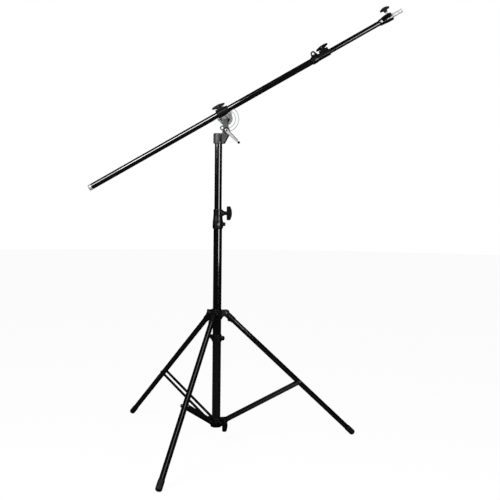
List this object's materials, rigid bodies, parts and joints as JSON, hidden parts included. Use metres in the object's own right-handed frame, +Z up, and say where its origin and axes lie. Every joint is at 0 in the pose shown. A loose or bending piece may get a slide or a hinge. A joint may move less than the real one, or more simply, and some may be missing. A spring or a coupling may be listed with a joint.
{
  "type": "overhead boom stand",
  "caption": "Folding tripod stand with a telescoping column, a tilting clamp head with an angle dial, and a two-section boom that ends in a spigot.",
  "frame": {"origin": "on the floor under the middle of the outline", "axes": "+X towards the tip of the boom, +Z up"},
  "size_m": [1.2748, 0.9996, 1.7714],
  "materials": {
    "black_tube": "gloss",
    "black_casting": "satin",
    "black_plastic": "matte",
    "grey_casting": "satin",
    "pale_casting": "satin",
    "bright_steel": "polished",
    "dark_steel": "satin",
    "rubber": "matte",
    "clear_plastic": "gloss"
  },
  "bodies": {
    "stand": {"column_tube": "black_tube", "column_end_plug": "black_plastic", "lower_spider": "black_casting", "brace_bolt_1": "dark_steel", "brace_bolt_2": "dark_steel", "brace_bolt_3": "dark_steel", "stop_collar": "black_casting", "column_lock_collar": "black_plastic", "collar_clamp_screw": "dark_steel"},
    "lower_knob": {"lower_spider_knob": "black_plastic"},
    "stop_screw": {"stop_collar_screw": "black_plastic"},
    "lock_knob": {"column_lock_knob": "black_plastic"},
    "spider": {"upper_spider": "black_casting", "leg_1_bolt": "dark_steel", "leg_2_bolt": "dark_steel", "leg_3_bolt": "dark_steel"},
    "leg_1": {"leg_1_top": "black_casting", "leg_1_tube": "black_tube", "leg_1_foot": "rubber", "leg_1_brace_pin": "dark_steel"},
    "brace_1": {"brace_1_left": "black_tube", "brace_1_right": "black_tube"},
    "leg_2": {"leg_2_top": "black_casting", "leg_2_tube": "black_tube", "leg_2_foot": "rubber", "leg_2_brace_pin": "dark_steel"},
    "brace_2": {"brace_2_left": "black_tube", "brace_2_right": "black_tube"},
    "leg_3": {"leg_3_top": "black_casting", "leg_3_tube": "black_tube", "leg_3_foot": "rubber", "leg_3_brace_pin": "dark_steel"},
    "brace_3": {"brace_3_left": "black_tube", "brace_3_right": "black_tube"},
    "mast_slider": {"mast_tail_bush": "black_plastic"},
    "mast": {"mast_tube": "black_tube", "head_casting": "grey_casting", "head_screw": "dark_steel", "pivot_bolt": "dark_steel", "pivot_nut": "dark_steel", "angle_dial": "clear_plastic"},
    "lever": {"tilt_lever": "bright_steel", "tilt_lever_cap": "black_plastic", "tilt_lever_stud": "dark_steel"},
    "cradle": {"tilt_cradle": "pale_casting", "boom_clamp": "black_casting", "boom_clamp_screw": "dark_steel"},
    "clamp_knob": {"boom_clamp_knob": "black_plastic"},
    "boom": {"boom_tube": "black_tube", "boom_tail_cap": "bright_steel", "boom_lock_collar": "black_plastic"},
    "boom_knob": {"boom_lock_knob": "black_plastic"},
    "tip_slider": {"tip_tail_bush": "black_plastic"},
    "tip": {"tip_tube": "black_tube", "end_socket": "black_casting", "socket_rivet": "bright_steel"},
    "tip_knob": {"end_knob": "black_plastic"},
    "spigot": {"spigot": "bright_steel"}
  },
  "joints": [
    {"name": "lower_knob_turn", "type": "hinge", "parent": "stand", "child": "lower_knob", "pos_m": [-0.06306, 0.07653, 0.084], "axis": [0.7604, -0.6494, 0], "continuous": true},
    {"name": "stop_screw_turn", "type": "hinge", "parent": "stand", "child": "stop_screw", "pos_m": [-0.0899, 0.09945, 0.43668], "axis": [0.9171, -0.3987, 0], "continuous": true},
    {"name": "lock_knob_turn", "type": "hinge", "parent": "stand", "child": "lock_knob", "pos_m": [-0.0624, 0.09945, 0.9491], "axis": [1, 0, 0], "continuous": true},
    {"name": "spider_slide", "type": "slide", "parent": "stand", "child": "spider", "axis": [0, 0, 1], "range_m": [0, 0.33]},
    {"name": "leg_1_fold", "type": "hinge", "parent": "spider", "child": "leg_1", "pos_m": [-0.05597, 0.11147, 0.53818], "axis": [-0.3338, 0.9426, 0], "range_deg": [0, 38.41]},
    {"name": "brace_1_fold", "type": "hinge", "parent": "stand", "child": "brace_1", "pos_m": [-0.0522, 0.11281, 0.0925], "axis": [0.3338, -0.9426, 0], "range_deg": [0, 55.37]},
    {"name": "leg_2_fold", "type": "hinge", "parent": "spider", "child": "leg_2", "pos_m": [-0.11728, 0.12283, 0.53818], "axis": [-0.6494, -0.7604, 0], "range_deg": [0, 38.41]},
    {"name": "brace_2_fold", "type": "hinge", "parent": "stand", "child": "brace_2", "pos_m": [-0.12032, 0.12543, 0.0925], "axis": [0.6494, 0.7604, 0], "range_deg": [0, 55.37]},
    {"name": "leg_3_fold", "type": "hinge", "parent": "spider", "child": "leg_3", "pos_m": [-0.09646, 0.06406, 0.53818], "axis": [0.9833, -0.1822, 0], "range_deg": [0, 38.41]},
    {"name": "brace_3_fold", "type": "hinge", "parent": "stand", "child": "brace_3", "pos_m": [-0.09719, 0.06012, 0.0925], "axis": [-0.9833, 0.1822, 0], "range_deg": [0, 55.37]},
    {"name": "mast_slide", "type": "slide", "parent": "stand", "child": "mast_slider", "axis": [0, 0, 1], "range_m": [-0.22, 0.5]},
    {"name": "mast_pan", "type": "hinge", "parent": "mast_slider", "child": "mast", "pos_m": [-0.0899, 0.09945, 0.3288], "axis": [0, 0, 1], "continuous": true},
    {"name": "lever_turn", "type": "hinge", "parent": "mast", "child": "lever", "pos_m": [-0.05415, 0.09945, 1.2831], "axis": [0, 1, 0], "continuous": true},
    {"name": "boom_tilt", "type": "hinge", "parent": "mast", "child": "cradle", "pos_m": [-0.06115, 0.09945, 1.3331], "axis": [0, -1, 0], "range_deg": [-89, 30]},
    {"name": "clamp_knob_turn", "type": "hinge", "parent": "cradle", "child": "clamp_knob", "pos_m": [-0.0875, 0.09945, 1.3741], "axis": [-0.4879, 0, 0.8729], "continuous": true},
    {"name": "boom_slide", "type": "slide", "parent": "cradle", "child": "boom", "axis": [0.8729, 0, 0.4879], "range_m": [-0.37, 0.57]},
    {"name": "boom_knob_turn", "type": "hinge", "parent": "boom", "child": "boom_knob", "pos_m": [0.32694, 0.09945, 1.60619], "axis": [-0.4879, 0, 0.8729], "continuous": true},
    {"name": "tip_slide", "type": "slide", "parent": "boom", "child": "tip_slider", "axis": [0.8729, 0, 0.4879], "range_m": [-0.2, 0.6]},
    {"name": "tip_roll", "type": "hinge", "parent": "tip_slider", "child": "tip", "pos_m": [-0.3065, 0.09945, 1.22891], "axis": [0.8729, 0, 0.4879], "continuous": true},
    {"name": "tip_knob_turn", "type": "hinge", "parent": "tip", "child": "tip_knob", "pos_m": [0.5729, 0.09945, 1.74823], "axis": [-0.4879, 0, 0.8729], "continuous": true},
    {"name": "spigot_slide", "type": "slide", "parent": "tip", "child": "spigot", "axis": [0.8729, 0, 0.4879], "range_m": [0, 0.05]}
  ],
  "couplings": [
    {"joint": "leg_1_fold", "follows": "spider_slide", "rad_per_m": 2.031},
    {"joint": "brace_1_fold", "follows": "spider_slide", "rad_per_m": 2.9278},
    {"joint": "leg_2_fold", "follows": "spider_slide", "rad_per_m": 2.031},
    {"joint": "brace_2_fold", "follows": "spider_slide", "rad_per_m": 2.9278},
    {"joint": "leg_3_fold", "follows": "spider_slide", "rad_per_m": 2.031},
    {"joint": "brace_3_fold", "follows": "spider_slide", "rad_per_m": 2.9278}
  ]
}
